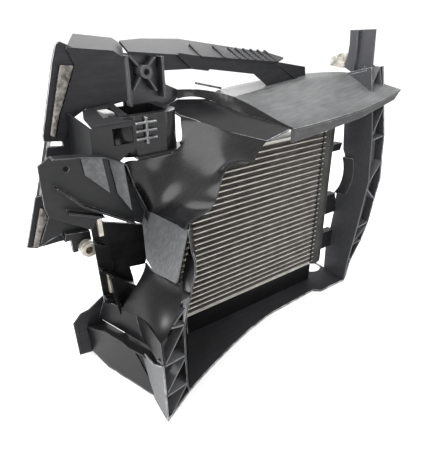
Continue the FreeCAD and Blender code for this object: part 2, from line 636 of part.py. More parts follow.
# Window bracket between the side bracket and the outlet box, and its rib grid
windowY = plateY + skin
windowFront = prism("windowFront", [lowerLeft(-70, windowY, 337), lowerLeft(-72, windowY, 308),
                                    lowerLeft(-43, windowY, 297), lowerLeft(-21, windowY, 312),
                                    lowerLeft(-21, windowY, 339)], "skin", backward)
windowHole = doc.addObject("Part::Box", "windowHole")
windowHole.Length, windowHole.Width, windowHole.Height = 24, 30, 19
windowHole.Placement.Base = lowerLeft(-48, -10, 315)
windowTop = prism("windowTop", [lowerLeft(-70, windowY, 337), lowerLeft(-21, windowY, 338),
                                lowerLeft(-27, 47, 350), lowerLeft(-65, 38, 348),
                                lowerLeft(-70, 22, 343)], "skin", upward)
windowTopHole = doc.addObject("Part::Box", "windowTopHole")
windowTopHole.Length, windowTopHole.Width, windowTopHole.Height = 18, 25, 30
windowTopHole.Placement.Base = lowerLeft(-51, 13, 325)
windowSide = prism("windowSide", [lowerLeft(-70, windowY, 337), lowerLeft(-78, 50, 347),
                                  lowerLeft(-80, 50, 300), lowerLeft(-72, windowY, 308)],
                   "skin", leftward)
windowBlank = fused("windowBlank", [windowFront, windowTop, windowSide])
windowTrim = fused("windowTrim", [windowHole, windowTopHole, rounded, sideBracket])
keep(cleaned("windowKept", cut("windowCut", windowBlank, windowTrim)), "window_bracket")
gridRibs = [bar("gridRib%d" % i, lowerLeft(-21, 0, z), lowerLeft(4, 0, z), 10, rib, backward)
            for i, z in enumerate((318, 327, 336))]
gridRibs.append(bar("gridPost", lowerLeft(-8, 0, 312), lowerLeft(-8, 0, 342), 10, rib,
                    backward))
keep(cut("rib_grid", fused("gridBlank", gridRibs), fused("gridTrim", [rounded, ledge,
                                                                    windowFront])),
     "rib_grid")

# Outlet box at the rear left: front wall, sloping top, tall flange and two foam seals
boxY = 50
boxWall = prism("boxWall", [lowerLeft(-62, boxY, 396), lowerLeft(-68, boxY, 414),
                            lowerLeft(-17, boxY, 408), lowerLeft(-4, boxY, 400),
                            lowerLeft(-5, boxY, 352), lowerLeft(-26, boxY, 349),
                            lowerLeft(-58, boxY, 348), lowerLeft(-75, boxY, 339),
                            lowerLeft(-90, boxY, 315), lowerLeft(-95, boxY, 322),
                            lowerLeft(-87, boxY, 344), lowerLeft(-69, boxY, 380)],
                "wall", backward)
boxTop = prism("boxTop", [lowerLeft(-68, boxY, 414), lowerLeft(-17, boxY, 408),
                          lowerLeft(3, 96, 419), lowerLeft(-45, 96, 426)], "wall", down)
boxEnd = prism("boxEnd", [lowerLeft(-17, boxY, 408), lowerLeft(-4, boxY, 400),
                          lowerLeft(14, 96, 411), lowerLeft(3, 96, 419)], "wall", down)
outletBox = fused("outlet_box", [boxWall, boxTop, boxEnd])
keep(outletBox, "outlet_box")
flangeY = boxY + wall
flange = cut("outlet_flange", prism("flangePlate", [lowerLeft(-73, flangeY, 420), lowerLeft(-78, flangeY, 417),
                                lowerLeft(-85, flangeY, 399), lowerLeft(-109, flangeY, 324),
                                lowerLeft(-109, flangeY, 318), lowerLeft(-89, flangeY, 315),
                                lowerLeft(-89, flangeY, 310), lowerLeft(-107, flangeY, 312),
                                lowerLeft(-110, flangeY, 302), lowerLeft(-112, flangeY, 258),
                                lowerLeft(-131, flangeY, 256),
                                lowerLeft(-size("outletReach"), flangeY, 195),
                                lowerLeft(-143, flangeY, 191), lowerLeft(-108, flangeY, 191),
                                lowerLeft(-76, flangeY, 290), lowerLeft(-77, flangeY, 335),
                                lowerLeft(-56, flangeY, 412)],
               "wall", backward), outletBox)
keep(flange, "outlet_flange")
keep(prism("upper_foam_seal", [lowerLeft(-78, flangeY, 397), lowerLeft(-63, flangeY, 396),
                               lowerLeft(-71, flangeY, 380), lowerLeft(-89, flangeY, 343.5),
                               lowerLeft(-97, flangeY, 322), lowerLeft(-102, flangeY, 324)],
           "foamThick", forward), "upper_foam_seal")
keep(prism("lower_foam_seal", [lowerLeft(-129, flangeY, 243), lowerLeft(-124.7, flangeY, 241),
                               lowerLeft(-123, flangeY, 229), lowerLeft(-132, flangeY, 214),
                               lowerLeft(-141, flangeY, 192.5),
                               lowerLeft(-147, flangeY, 194.5)],
           "foamThick", forward), "lower_foam_seal")
lowerBox = prism("lowerBox", [lowerLeft(-124, boxY, 262), lowerLeft(-122, boxY, 229),
                              lowerLeft(-140, boxY, 192), lowerLeft(-126, boxY, 198),
                              lowerLeft(-112, boxY, 202), lowerLeft(-108, boxY, 189),
                              lowerLeft(-69, boxY, 200), lowerLeft(-50, boxY, 290)],
                 "wall", backward)
rearDuct = prism("rearDuct", [lowerLeft(-73, boxY + 2 * wall, 418), lowerLeft(-148, 56, 196),
                              lowerLeft(-130, rear - 0.6, 188),
                               lowerLeft(-50, rear - 0.6, 412)],
                 "wall", rightward)
keep(lowerBox, "outlet_lower_wall")
keep(cut("outlet_side_wall", rearDuct, fused("ductTrim", [boxTop, flange])),
     "outlet_side_wall")

# Screw boss between two pillars, braced by an X of ribs
bossCentre = lowerLeft(19, boxY - 8, 383)
panelY = bossCentre.y + size("bossLength")
bossOuter = rod("bossOuter", bossCentre, backward, "Sizes.bossDiameter / 2",
                "Sizes.bossLength")
bossHole = rod("bossHole", bossCentre - backward, backward, "Sizes.bossBore / 2 + 1.5",
               "Sizes.bossLength + 10")
bossPanel = prism("bossPanel", [lowerLeft(dx, panelY, z) for dx, z in [
    (-1, 404), (46, 398), (53, 383), (56, 363), (73, 355), (73, 345), (60, 336), (50, 330),
    (-5, 330)]], "wall", backward)
braces = []
for i, (dx, z) in enumerate(((4, 362), (35, 359), (3, 401), (36, 398))):
    end = lowerLeft(dx, panelY - 8, z)
    braces.append(bar("brace%d" % i, lowerLeft(19, panelY - 8, 383), end, 16, rib, backward))
pillars = []
for i, (dx, high, low) in enumerate(((-2, 402, 344), (44, 398, 350))):
    post = doc.addObject("Part::Box", "pillar%d" % i)
    post.Length, post.Width, post.Height = wall, panelY - boxY, high - low
    post.Placement.Base = lowerLeft(dx, boxY, low)
    pillars.append(post)
bossSolid = cut("bossSolid", fused("bossBlank", [bossOuter, bossPanel] + braces + pillars),
                bossHole)
keep(cut("boss_panel", bossSolid, fused("bossTrim", [boxWall, boxEnd])), "boss_panel")
sleeveOuter = rod("sleeveOuter", bossCentre, backward, "Sizes.bossBore / 2 + 1.5",
                  "Sizes.bossLength")
sleeveBore = rod("sleeveBore", bossCentre - backward, backward, "Sizes.bossBore / 2",
                 "Sizes.bossLength + 2")
keep(cut("boss_sleeve", sleeveOuter, sleeveBore), "boss_sleeve")

# Support arm from the outlet box to the rear deck, with eight slanted ribs and a tab
armTop = prism("armTop", [lowerLeft(2, 50, 406), lowerLeft(64, 50, 399),
                          lowerLeft(228, 47, 380), lowerLeft(259, 66, 383),
                          lowerLeft(240, 84, 390), lowerLeft(191, 92, 398),
                          lowerLeft(148, 102, 406), lowerLeft(103, 112, 413),
                          lowerLeft(41, 100, 416), lowerLeft(7, 86, 416)], "wall", down)
armSide = prism("armSide", [lowerLeft(47, 50, 382), lowerLeft(47, 50, 401),
                            lowerLeft(64, 50, 399), lowerLeft(231, 50, 380),
                            lowerLeft(290, 50, 369), lowerLeft(297, 50, 330),
                            lowerLeft(240, 50, 330), lowerLeft(191, 50, 366),
                            lowerLeft(116, 50, 378), lowerLeft(82, 50, 381)],
                "wall", backward)
armRibX = [100, 138] + [163.5 + 13.5 * i for i in range(6)]
armRibs = []
for i, dx in enumerate(armRibX):
    z = 404 - 0.1135 * dx
    armRibs.append(bar("armRib%d" % i, lowerLeft(dx, 50, z), lowerLeft(dx + 7, 88, z + 12),
                       wall, 8, rightward))
armTab = prism("armTab", [lowerLeft(67, 46, 401), lowerLeft(95, 46, 396),
                          lowerLeft(113, 46, 380), lowerLeft(109, 46, 377),
                          lowerLeft(85, 46, 381), lowerLeft(64, 46, 399)], 4, backward)
armFoot = prism("armFoot", [lowerLeft(231, 50, 380), lowerLeft(290, 50, 369),
                            lowerLeft(297, 50, 352), lowerLeft(270, 74, 365),
                            lowerLeft(259, 66, 383)], "wall", down)
armSolid = fused("armSolid", [armTop, armSide, armTab, armFoot] + armRibs)
underDeck = swept("underDeck", deckFace, down, 90)
armTrimmed = cut("armTrimmed", armSolid, underDeck)
keep(cut("support_arm", armTrimmed, fused("armTrim", [boxTop, boxEnd, bossPanel] + pillars)),
     "support_arm")

# Post under the side bracket, with cross ribs
postY = 8
post = prism("postPlate", [lowerLeft(-85, postY, 232), lowerLeft(-85, postY, 183),
                           lowerLeft(-84, postY, 110), lowerLeft(-72, postY, 104),
                           lowerLeft(-67, postY, 160), lowerLeft(-67, postY, 199),
                           lowerLeft(-73, postY, 243)], "wall", backward)
postRibs = [bar("postRib%d" % i, lowerLeft(a, postY - 5, za), lowerLeft(b, postY - 5, zb),
                10, rib, backward)
            for i, (a, za, b, zb) in enumerate(((-85, 203, -74, 196), (-84, 165, -46, 128),
                                                (-84, 122, -74, 117)))]
postRibs.append(bar("postLink", lowerLeft(-86, 3.25, 236), lowerLeft(-77, 3.25, 240), 9.5, 8,
                    backward))
keep(fused("bracket_post", [post] + postRibs), "bracket_post")

# Rear side wall behind the post, left open towards the back under the cowl
rearSideY = postY + wall
rearSide = prism("rearSide", [lowerLeft(dx, rearSideY, z) for dx, z in [
    (-77, 226), (-15, 204), (-19, 153), (-21, 146), (-43, 149), (-40, 130), (-40, 93),
    (-67, 85), (-83, 128)]], "wall", backward)
keep(cut("rear_side_wall", rearSide, fused("rearSideTrim", [sidePanel, recess])),
     "rear_side_wall")

# Cup beside the post, with a strut to the side shelf
cupEdge = [(-75, 150), (-71, 153), (-43, 128), (-49, 111), (-67, 98), (-73, 122)]
cupHollow = [(-71, 146), (-70, 148), (-47, 127), (-52, 113), (-66, 103), (-70, 122)]
cupOuter = prism("cupOuter", [lowerLeft(dx, -4, z) for dx, z in cupEdge], 15, backward)
cupInner = prism("cupInner", [lowerLeft(dx, -5, z) for dx, z in cupHollow], 13, backward)
strut = prism("cupStrut", [lowerLeft(-73, -4, 122), lowerLeft(-67, -4, 98),
                           lowerLeft(-62, -4, 66), lowerLeft(-66, -4, 66)], wall, backward)
cupBlank = fused("cupBlank", [cut("cupShell", cupOuter, cupInner), strut])
cupTrim = fused("cupTrim", [sidePanel, recess, post] + postRibs)
keep(cleaned("cupKept", cut("cupCut", cupBlank, cupTrim), 1000), "cup_bracket")

# Foot at the rear of the left side
footY = 40
foot = prism("footPlate", [lowerLeft(dx, footY, z) for dx, z in [
    (-122, 15), (-122, 70), (-110, 82), (-98, 84), (-76, 98), (-76, 60), (-106, 56),
    (-103, 12)]], "wall", backward)
footSide = prism("footSide", [lowerLeft(-122, footY, 15), lowerLeft(-122, footY, 70),
                              lowerLeft(-114, 62, 58), lowerLeft(-114, 62, wall),
                              lowerLeft(-116, 56, wall)], "wall", rightward)
keep(cut("rear_foot", fused("footBlank", [foot, footSide]),
         fused("footTrim", [lowerPanel, sideShelf, recess, floorPanel])), "rear_foot")

# Rail over the core that locates the upper grommets, and seats under the lower one
railZ = size("tankOverrun") + size("capThick") + 7
rail = doc.addObject("Part::Box", "topRailBlank")
rail.Length, rail.Width, rail.Height = span + 22, 34, wall
rail.Placement.Base = upperLeft(-22, -5, railZ)
railHoles = [rod("railHole%d" % i, Vector(x, middle, tankTop), upward,
                 "Sizes.grommetDiameter / 2", 2 * size("pinLength"))
             for i, x in enumerate((leftTankX, rightTankX))]
railCut = cut("railCut", rail, fused("railTrim", railHoles + [cowl]))
keep(cleaned("railKept", railCut), "core_top_rail")
seatTop = tankBottom - size("capThick") - size("pinLength") / 2
seatOuter = rod("seatOuter", Vector(leftTankX, middle, wall), upward,
                "Sizes.grommetDiameter / 2 + Sizes.wall", seatTop - wall)
seatBore = rod("seatBore", Vector(leftTankX, middle, seatTop - size("pinLength") / 2), upward,
               "Sizes.grommetDiameter / 2", "Sizes.pinLength")
keep(cut("lower_core_seat", seatOuter, seatBore), "lower_core_seat")
baffle = doc.addObject("Part::Box", "core_base_baffle")
baffle.setExpression("Length", "Sizes.coreWidth")
baffle.setExpression("Width", "Sizes.wall")
baffle.Height = base - size("tubeThick") / 2 - size("sidePlateThick") - wall
baffle.Placement.Base = Vector(tubeLeft, 0, wall)
keep(baffle, "core_base_baffle")

# Brackets that hold the right tank off the right wall
tankBlocks = []
for i, (low, high) in enumerate(((58, 92), (128, 165), (241, 253))):
    block = doc.addObject("Part::Box", "tankBlock%d" % i)
    block.Length, block.Width, block.Height = right - rightTankX, 12, high - low
    block.Placement.Base = Vector(rightTankX, 0, low)
    tankBlocks.append(block)
blocksTrim = fused("blocksTrim", [rightTank, rimTaper])
keep(cut("tank_side_brackets", grouped("tankBlocks", tankBlocks), blocksTrim),
     "tank_side_brackets")

# Small parts at the back of the outlet: ledge block, stub and metal fitting
fittingCentre = lowerLeft(-86, 28, 181)
fittingBody = rod("fittingBody", fittingCentre, backward, 9.5, 22)
fittingCollar = rod("fittingCollar", fittingCentre + backward * 4, backward, 10.5, 6)
fittingBore = rod("fittingBore", fittingCentre - backward, backward, 5, 18)
fitting = cut("pressure_fitting", fused("fittingBlank", [fittingBody, fittingCollar]),
              fittingBore)
keep(fitting, "pressure_fitting")
ledgeBlock = prism("ledgeBlock", [lowerLeft(dx, 42, z) for dx, z in [
    (-108, 204), (-78, 200), (-78, 186), (-96, 186), (-96, 176), (-103, 176), (-103, 194),
    (-111, 194)]], 8, backward)
keep(cleaned("holderKept", cut("holderCut", ledgeBlock, fitting), 1000), "fitting_holder")

# Bright clips on the post and at the foot of the cup's strut
clips = []
for i, (dx, y, z, wide, deep, high) in enumerate(((-78, 3, 209, 5, 5, 23),
                                                  (-76, 4, 125, 3, 4, 30),
                                                  (-72, -1, 68, 11, 6, 12))):
    clip = doc.addObject("Part::Box", "clip%d" % i)
    clip.Length, clip.Width, clip.Height = wide, deep, high
    clip.Placement.Base = lowerLeft(dx, y, z)
    clips.append(clip)
clipsCut = cut("clipsCut", grouped("clipSet", clips),
               fused("clipTrim", [cupOuter, recess, sideShelf] + postRibs))
keep(cleaned("clipsKept", clipsCut), "metal_clips")
hook = bar("hookBar", lowerLeft(103, 68, 360), lowerLeft(142, 66, 350), 8, 3, backward)
keep(cut("deck_hook", hook, deck), "deck_hook")

# Build, check and write
doc.recompute()
for obj in doc.Objects:
    if "Invalid" in obj.State or "Error" in obj.State:
        raise RuntimeError("%s (%s) failed: %s" % (obj.Name, obj.Label, obj.State))
os.makedirs("parts", exist_ok=True)
for piece in pieces:
    shape = piece.Shape
    if shape.isNull() or not shape.isValid() or not shape.Solids:
        raise RuntimeError(piece.Label + " has no valid solid")
    shape.exportStep("parts/%s.step" % piece.Label)
    box = shape.BoundBox
    print("%-26s solids %3d  volume %9.0f  x %7.1f %7.1f  y %6.1f %6.1f  z %6.1f %6.1f" % (
        piece.Label, len(shape.Solids), shape.Volume,
        box.XMin, box.XMax, box.YMin, box.YMax, box.ZMin, box.ZMax))
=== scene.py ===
import math

import bpy
from mathutils import Matrix, Vector, noise


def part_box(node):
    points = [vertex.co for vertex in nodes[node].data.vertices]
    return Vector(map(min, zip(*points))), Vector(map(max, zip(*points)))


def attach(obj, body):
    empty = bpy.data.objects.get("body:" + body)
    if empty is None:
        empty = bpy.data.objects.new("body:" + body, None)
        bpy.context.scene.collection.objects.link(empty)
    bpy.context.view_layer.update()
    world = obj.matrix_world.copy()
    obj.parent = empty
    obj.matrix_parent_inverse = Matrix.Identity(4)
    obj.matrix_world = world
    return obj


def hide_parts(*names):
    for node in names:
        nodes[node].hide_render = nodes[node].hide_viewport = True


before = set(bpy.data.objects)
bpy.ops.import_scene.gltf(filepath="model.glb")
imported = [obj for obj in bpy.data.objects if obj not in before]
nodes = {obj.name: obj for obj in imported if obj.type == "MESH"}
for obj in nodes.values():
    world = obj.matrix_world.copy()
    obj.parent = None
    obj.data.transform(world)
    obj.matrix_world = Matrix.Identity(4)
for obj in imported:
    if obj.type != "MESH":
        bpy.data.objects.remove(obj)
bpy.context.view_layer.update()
print("frame loaded:", len(nodes), "nodes")


# Camera at the photograph's viewing angle
camera = {
    "place": (-0.3206, -0.4298, 0.4426),
    "azimuth": -33.69,      # degrees; the lens looks to the right of straight ahead
    "elevation": 27.22,     # degrees down
    "roll": 0.92,           # degrees
    "lens": 32.76,          # mm
    "sensor": 36,           # mm, fitted to the longer side
    "nearest": 0.01,        # metres from the lens
}


def addCamera(spec):
    azimuth, elevation, roll = (math.radians(spec[k]) for k in ("azimuth", "elevation", "roll"))
    ahead = Vector((-math.sin(azimuth) * math.cos(elevation),
                    math.cos(azimuth) * math.cos(elevation), -math.sin(elevation)))
    right = Vector((math.cos(azimuth), math.sin(azimuth), 0))
    down = ahead.cross(right)
    rolledRight = right * math.cos(roll) + down * math.sin(roll)
    rolledDown = down * math.cos(roll) - right * math.sin(roll)
    data = bpy.data.cameras.new("camera")
    data.sensor_width = spec["sensor"]
    data.lens = spec["lens"]
    data.clip_start = spec["nearest"]
    obj = bpy.data.objects.new("camera", data)
    bpy.context.scene.collection.objects.link(obj)
    turn = Matrix((rolledRight, -rolledDown, -ahead)).transposed().to_4x4()
    obj.matrix_world = Matrix.Translation(spec["place"]) @ turn
    bpy.context.scene.camera = obj


addCamera(camera)
print("camera placed")


# Floor, sky and lights
studio = {
    "floorTone": (0.97, 0.97, 0.97, 1),
    "floorRough": 0.9,
    "floorSpecular": 0.1,
    "floorHalf": 6,         # metres from the middle to each side
    "floorDrop": 0.0002,    # metres under the part, so that the two faces don't meet
    "skyTone": (1.0, 1.0, 1.0, 1),
    "skyPower": 1.15,
    "lamps": [
        # name, place, aimed at, width in metres, watts
        ("overhead", (-0.1, 0.1, 1.5), (0, 0, 0.2), 1.1, 16),
        ("leftKey", (-1.3, -0.5, 1.0), (-0.05, -0.05, 0.2), 0.9, 14),
        ("frontFill", (0.4, -1.5, 0.5), (0.05, 0, 0.15), 0.8, 7),
        ("backRim", (0.5, 1.2, 1.0), (0, 0, 0.3), 0.9, 10),
        ("cowlGlint", (-0.75, 0.35, 0.62), (-0.08, -0.03, 0.3), 0.16, 5),
    ],
}


def newMaterial(name):
    material = bpy.data.materials.new(name)
    material.use_nodes = True
    return material, material.node_tree.nodes["Principled BSDF"]


def addSky(spec):
    world = bpy.data.worlds.new("studio")
    world.use_nodes = True
    background = world.node_tree.nodes["Background"]
    background.inputs["Color"].default_value = spec["skyTone"]
    background.inputs["Strength"].default_value = spec["skyPower"]
    bpy.context.scene.world = world
    bpy.context.scene.view_settings.view_transform = "Standard"


def addFloor(spec):
    mesh = bpy.data.meshes.new("floor")
    half = spec["floorHalf"]
    mesh.from_pydata([(-half, -half, 0), (half, -half, 0), (half, half, 0), (-half, half, 0)],
                     [], [(0, 1, 2, 3)])
    floor = bpy.data.objects.new("floor", mesh)
    floor.location.z = -spec["floorDrop"]
    bpy.context.scene.collection.objects.link(floor)
    tone, shader = newMaterial("paleFloor")
    shader.inputs["Base Color"].default_value = spec["floorTone"]
    shader.inputs["Roughness"].default_value = spec["floorRough"]
    shader.inputs["Specular IOR Level"].default_value = spec["floorSpecular"]
    mesh.materials.append(tone)


def addLamps(spec):
    for name, place, target, width, power in spec["lamps"]:
        lamp = bpy.data.lights.new(name, "AREA")
        lamp.shape = "DISK"
        lamp.size = width
        lamp.energy = power
        obj = bpy.data.objects.new(name, lamp)
        aim = (Vector(target) - Vector(place)).to_track_quat("-Z", "Y")
        obj.matrix_world = Matrix.Translation(place) @ aim.to_matrix().to_4x4()
        bpy.context.scene.collection.objects.link(obj)


addSky(studio)
addFloor(studio)
addLamps(studio)
print("studio lit")


# Shader groups shared by several materials, and the helpers that build them
firstColour, secondColour, mixedColour = 6, 7, 2    # a Mix node's sockets for colours


def newGroup(name, inputs, outputs):
    group = bpy.data.node_groups.new(name, "ShaderNodeTree")
    for label, kind, value in inputs:
        socket = group.interface.new_socket(label, in_out="INPUT", socket_type=kind)
        socket.default_value = value
    for label, kind in outputs:
        group.interface.new_socket(label, in_out="OUTPUT", socket_type=kind)
    return group, group.nodes.new("NodeGroupInput"), group.nodes.new("NodeGroupOutput")


def addNode(tree, kind, links=(), **settings):
    node = tree.nodes.new(kind)
    for key, value in settings.items():
        setattr(node, key, value)
    for socket, source in links:
        if isinstance(source, bpy.types.NodeSocket):
            tree.links.new(source, node.inputs[socket])
        else:
            node.inputs[socket].default_value = source
    return node


def addMix(tree, share, first, second, **settings):
    mix = addNode(tree, "ShaderNodeMix",
                  [("Factor", share), (firstColour, first), (secondColour, second)],
                  data_type="RGBA", **settings)
    return mix.outputs[mixedColour]


def addProduct(tree, first, second):
    node = addNode(tree, "ShaderNodeMath", [(0, first), (1, second)], operation="MULTIPLY")
    return node.outputs[0]


def addBump(tree, shader, height, strength, distance):
    bump = addNode(tree, "ShaderNodeBump",
                   [("Height", height), ("Strength", strength), ("Distance", distance)])
    tree.links.new(bump.outputs["Normal"], shader.inputs["Normal"])


def makeFleckGroup():
    # painted highlight on a rounded edge, in small irregular patches
    group, given, result = newGroup("paintedHighlightFlecks", [
        ("Amount", "NodeSocketFloat", 0.5), ("Scale", "NodeSocketFloat", 90.0)],
        [("Mask", "NodeSocketFloat")])
    coord = addNode(group, "ShaderNodeTexCoord")
    speckle = addNode(group, "ShaderNodeTexNoise",
                      [("Vector", coord.outputs["Object"]), ("Scale", given.outputs["Scale"]),
                       ("Detail", 5.0)])
    patch = addNode(group, "ShaderNodeMapRange",
                    [("Value", speckle.outputs["Fac"]), ("From Min", 0.3), ("From Max", 0.62)])
    mask = addProduct(group, patch.outputs["Result"], given.outputs["Amount"])
    group.links.new(mask, result.inputs["Mask"])
    return group


def makeGrainGroup():
    # fine moulded grain with larger, soft waviness under it
    group, given, result = newGroup("mouldGrain", [
        ("Grain Scale", "NodeSocketFloat", 1400.0), ("Grain Depth", "NodeSocketFloat", 0.25),
        ("Wave Scale", "NodeSocketFloat", 22.0), ("Wave Depth", "NodeSocketFloat", 0.15)],
        [("Height", "NodeSocketFloat")])
    coord = addNode(group, "ShaderNodeTexCoord")
    fine = addNode(group, "ShaderNodeTexNoise", [("Vector", coord.outputs["Object"]),
                                                 ("Scale", given.outputs["Grain Scale"])])
    soft = addNode(group, "ShaderNodeTexNoise", [("Vector", coord.outputs["Object"]),
                                                 ("Scale", given.outputs["Wave Scale"]),
                                                 ("Detail", 1.0)])
    small = addProduct(group, fine.outputs["Fac"], given.outputs["Grain Depth"])
    large = addNode(group, "ShaderNodeMath", [(0, soft.outputs["Fac"]),
                                              (1, given.outputs["Wave Depth"]),
                                              (2, small)], operation="MULTIPLY_ADD")
    group.links.new(large.outputs[0], result.inputs["Height"])
    return group


def makeDustGroup():
    # dust that settles on faces that look up, in soft patches
    leastDust = 0.2     # lies everywhere, under the patches
    group, given, result = newGroup("settledDust", [
        ("Cover", "NodeSocketFloat", 0.5), ("Scale", "NodeSocketFloat", 16.0),
        ("Stretch", "NodeSocketVector", (6.0, 60.0, 20.0))],
        [("Mask", "NodeSocketFloat")])
    geometry = addNode(group, "ShaderNodeNewGeometry")
    parts = addNode(group, "ShaderNodeSeparateXYZ", [(0, geometry.outputs["Normal"])])
    facing = addNode(group, "ShaderNodeMapRange", [("Value", parts.outputs["Z"]),
                                                   ("From Min", 0.1), ("From Max", 0.95)])
    coord = addNode(group, "ShaderNodeTexCoord")
    cloud = addNode(group, "ShaderNodeTexNoise",
                    [("Vector", coord.outputs["Object"]), ("Scale", given.outputs["Scale"]),
                     ("Detail", 6.0), ("Roughness", 0.65)])
    patch = addNode(group, "ShaderNodeMapRange",
                    [("Value", cloud.outputs["Fac"]), ("From Min", 0.35), ("From Max", 0.75),
                     ("To Min", 0.25), ("To Max", 1.0)])
    drawn = addNode(group, "ShaderNodeVectorMath", [(0, coord.outputs["Object"]),
                                                    (1, given.outputs["Stretch"])],
                    operation="MULTIPLY")
    lines = addNode(group, "ShaderNodeTexNoise", [("Vector", drawn.outputs["Vector"]),
                                                  ("Scale", 5.0), ("Detail", 8.0)])
    wiped = addNode(group, "ShaderNodeMath", [(0, lines.outputs["Fac"]),
                                              (1, patch.outputs["Result"]), (2, leastDust)],
                    operation="MULTIPLY_ADD")
    lying = addProduct(group, facing.outputs["Result"], wiped.outputs[0])
    mask = addProduct(group, lying, given.outputs["Cover"])
    group.links.new(mask, result.inputs["Mask"])
    return group


def makeStreakGroup():
    # long fine scuffs along one direction
    group, given, result = newGroup("scuffStreaks", [
        ("Stretch", "NodeSocketVector", (8.0, 90.0, 40.0)),
        ("Amount", "NodeSocketFloat", 0.5)], [("Mask", "NodeSocketFloat")])
    coord = addNode(group, "ShaderNodeTexCoord")
    drawn = addNode(group, "ShaderNodeVectorMath", [(0, coord.outputs["Object"]),
                                                    (1, given.outputs["Stretch"])],
                    operation="MULTIPLY")
    lines = addNode(group, "ShaderNodeTexNoise", [("Vector", drawn.outputs["Vector"]),
                                                  ("Scale", 4.0), ("Detail", 8.0),
                                                  ("Roughness", 0.7)])
    sharp = addNode(group, "ShaderNodeMapRange", [("Value", lines.outputs["Fac"]),
                                                  ("From Min", 0.45), ("From Max", 0.7)])
    mask = addProduct(group, sharp.outputs["Result"], given.outputs["Amount"])
    group.links.new(mask, result.inputs["Mask"])
    return group


paintedHighlightFlecks = makeFleckGroup()
mouldGrain = makeGrainGroup()
settledDust = makeDustGroup()
scuffStreaks = makeStreakGroup()
print("shader groups made")


# Moulded plastic finishes; each has a lighter twin for its rounded edges, which paints a
# highlight on them
plastics = {
    "satinDuct": {"tone": (0.007, 0.0072, 0.008), "edge": (0.3, 0.305, 0.315), "dust": 0.05,
                  "dustTone": (0.18, 0.18, 0.18), "rough": 0.38, "specular": 0.25, "coat": 0.0,
                  "grain": 0.22, "wave": 0.3, "streaks": 0.5},
    # a darker copy of the satin duct plastic: painted shade on the left side and brackets
    "paintedShadeDuct": {"tone": (0.004, 0.004, 0.0045), "edge": (0.3, 0.305, 0.315), "dust": 0.02,
                  "dustTone": (0.18, 0.18, 0.18), "rough": 0.3, "specular": 0.12, "coat": 0.0,
                  "grain": 0.1, "wave": 0.4, "streaks": 0.8},
    # a lighter copy of the duct plastic: painted light on the right wall
    "paintedLightWall": {"tone": (0.03, 0.0305, 0.034), "edge": (0.55, 0.555, 0.57), "dust": 0.08,
                 "dustTone": (0.25, 0.25, 0.25), "rough": 0.45, "specular": 0.4, "coat": 0.0,
                 "grain": 0.22, "wave": 0.3, "streaks": 0.4},
    "litRibs": {"tone": (0.07, 0.0705, 0.074), "edge": (0.75, 0.76, 0.78), "dust": 0.06,
                "dustTone": (0.25, 0.25, 0.25), "rough": 0.45, "specular": 0.3, "coat": 0.0,
                "grain": 0.2, "wave": 0.3, "streaks": 0.3},
    "glossCowl": {"tone": (0.005, 0.005, 0.0056), "edge": (0.3, 0.3, 0.315), "dust": 0.03,
                  "dustTone": (0.2, 0.2, 0.2), "rough": 0.24, "specular": 0.22, "coat": 0.1,
                  "grain": 0.05, "wave": 0.6, "streaks": 0.9},
    "dustyTop": {"tone": (0.014, 0.0143, 0.0155), "edge": (0.55, 0.55, 0.56), "dust": 0.5,
                 "dustTone": (0.34, 0.345, 0.345), "rough": 0.34, "specular": 0.45,
                 "coat": 0.15, "grain": 0.15, "wave": 0.3, "streaks": 1.0},
    "darkTop": {"tone": (0.01, 0.0102, 0.0115), "edge": (0.45, 0.45, 0.46), "dust": 0.1,
                "dustTone": (0.2, 0.2, 0.21), "rough": 0.5, "specular": 0.18, "coat": 0.0,
                "grain": 0.3, "wave": 0.3, "streaks": 0.7},
    # a lighter copy of the duct plastic: painted light on the facets and gussets
    "paintedLightFacet": {"tone": (0.05, 0.051, 0.053), "edge": (0.3, 0.3, 0.31), "dust": 0.06,
                  "dustTone": (0.25, 0.25, 0.25), "rough": 0.45, "specular": 0.35, "coat": 0.0,
                  "grain": 0.3, "wave": 0.2, "streaks": 0.8},
}


# What all the plastics share
plasticSkin = {
    "scuffLift": 2.2,       # times as light as the face it is in
    "dustRough": 0.6,       # the most that dust adds to the roughness
    "bump": 0.35,
    "bumpDeep": 0.0006,
    "coatRough": 0.18,
}


def makePlastic(name, spec, edge=False):
    material, shader = newMaterial(name + ("EdgeHighlight" if edge else ""))
    tree = material.node_tree
    dust =addNode(tree, "ShaderNodeGroup", node_tree=settledDust)
    dust.inputs["Cover"].default_value = spec["dust"]
    grain = addNode(tree, "ShaderNodeGroup", node_tree=mouldGrain)
    grain.inputs["Grain Depth"].default_value = spec["grain"]
    grain.inputs["Wave Depth"].default_value = spec["wave"]
    # the edge twin mixes in a painted highlight in patches; the face mixes in lighter scuffs
    scuffAndHighlight = addNode(tree, "ShaderNodeGroup", node_tree=paintedHighlightFlecks if edge else scuffStreaks)
    scuffAndHighlight.inputs["Amount"].default_value = 1.0 if edge else spec["streaks"]
    tone = spec["tone"]
    lifted = tuple(c * plasticSkin["scuffLift"] for c in tone)
    scuffAndHighlightTone = spec["edge"] if edge else lifted
    scuffedAndHighlit = addMix(tree, scuffAndHighlight.outputs["Mask"], tone + (1,), scuffAndHighlightTone + (1,))
    dusty = addMix(tree, dust.outputs["Mask"], scuffedAndHighlit, spec["dustTone"] + (1,))
    tree.links.new(dusty, shader.inputs["Base Color"])
    rough = addNode(tree, "ShaderNodeMapRange", [
        ("Value", dust.outputs["Mask"]), ("To Min", spec["rough"]),
        ("To Max", min(1.0, spec["rough"] + plasticSkin["dustRough"]))])
    tree.links.new(rough.outputs["Result"], shader.inputs["Roughness"])
    addBump(tree, shader, grain.outputs["Height"], plasticSkin["bump"], plasticSkin["bumpDeep"])
    shader.inputs["Specular IOR Level"].default_value = spec["specular"]
    shader.inputs["Coat Weight"].default_value = spec["coat"]
    shader.inputs["Coat Roughness"].default_value = plasticSkin["coatRough"]
    return material


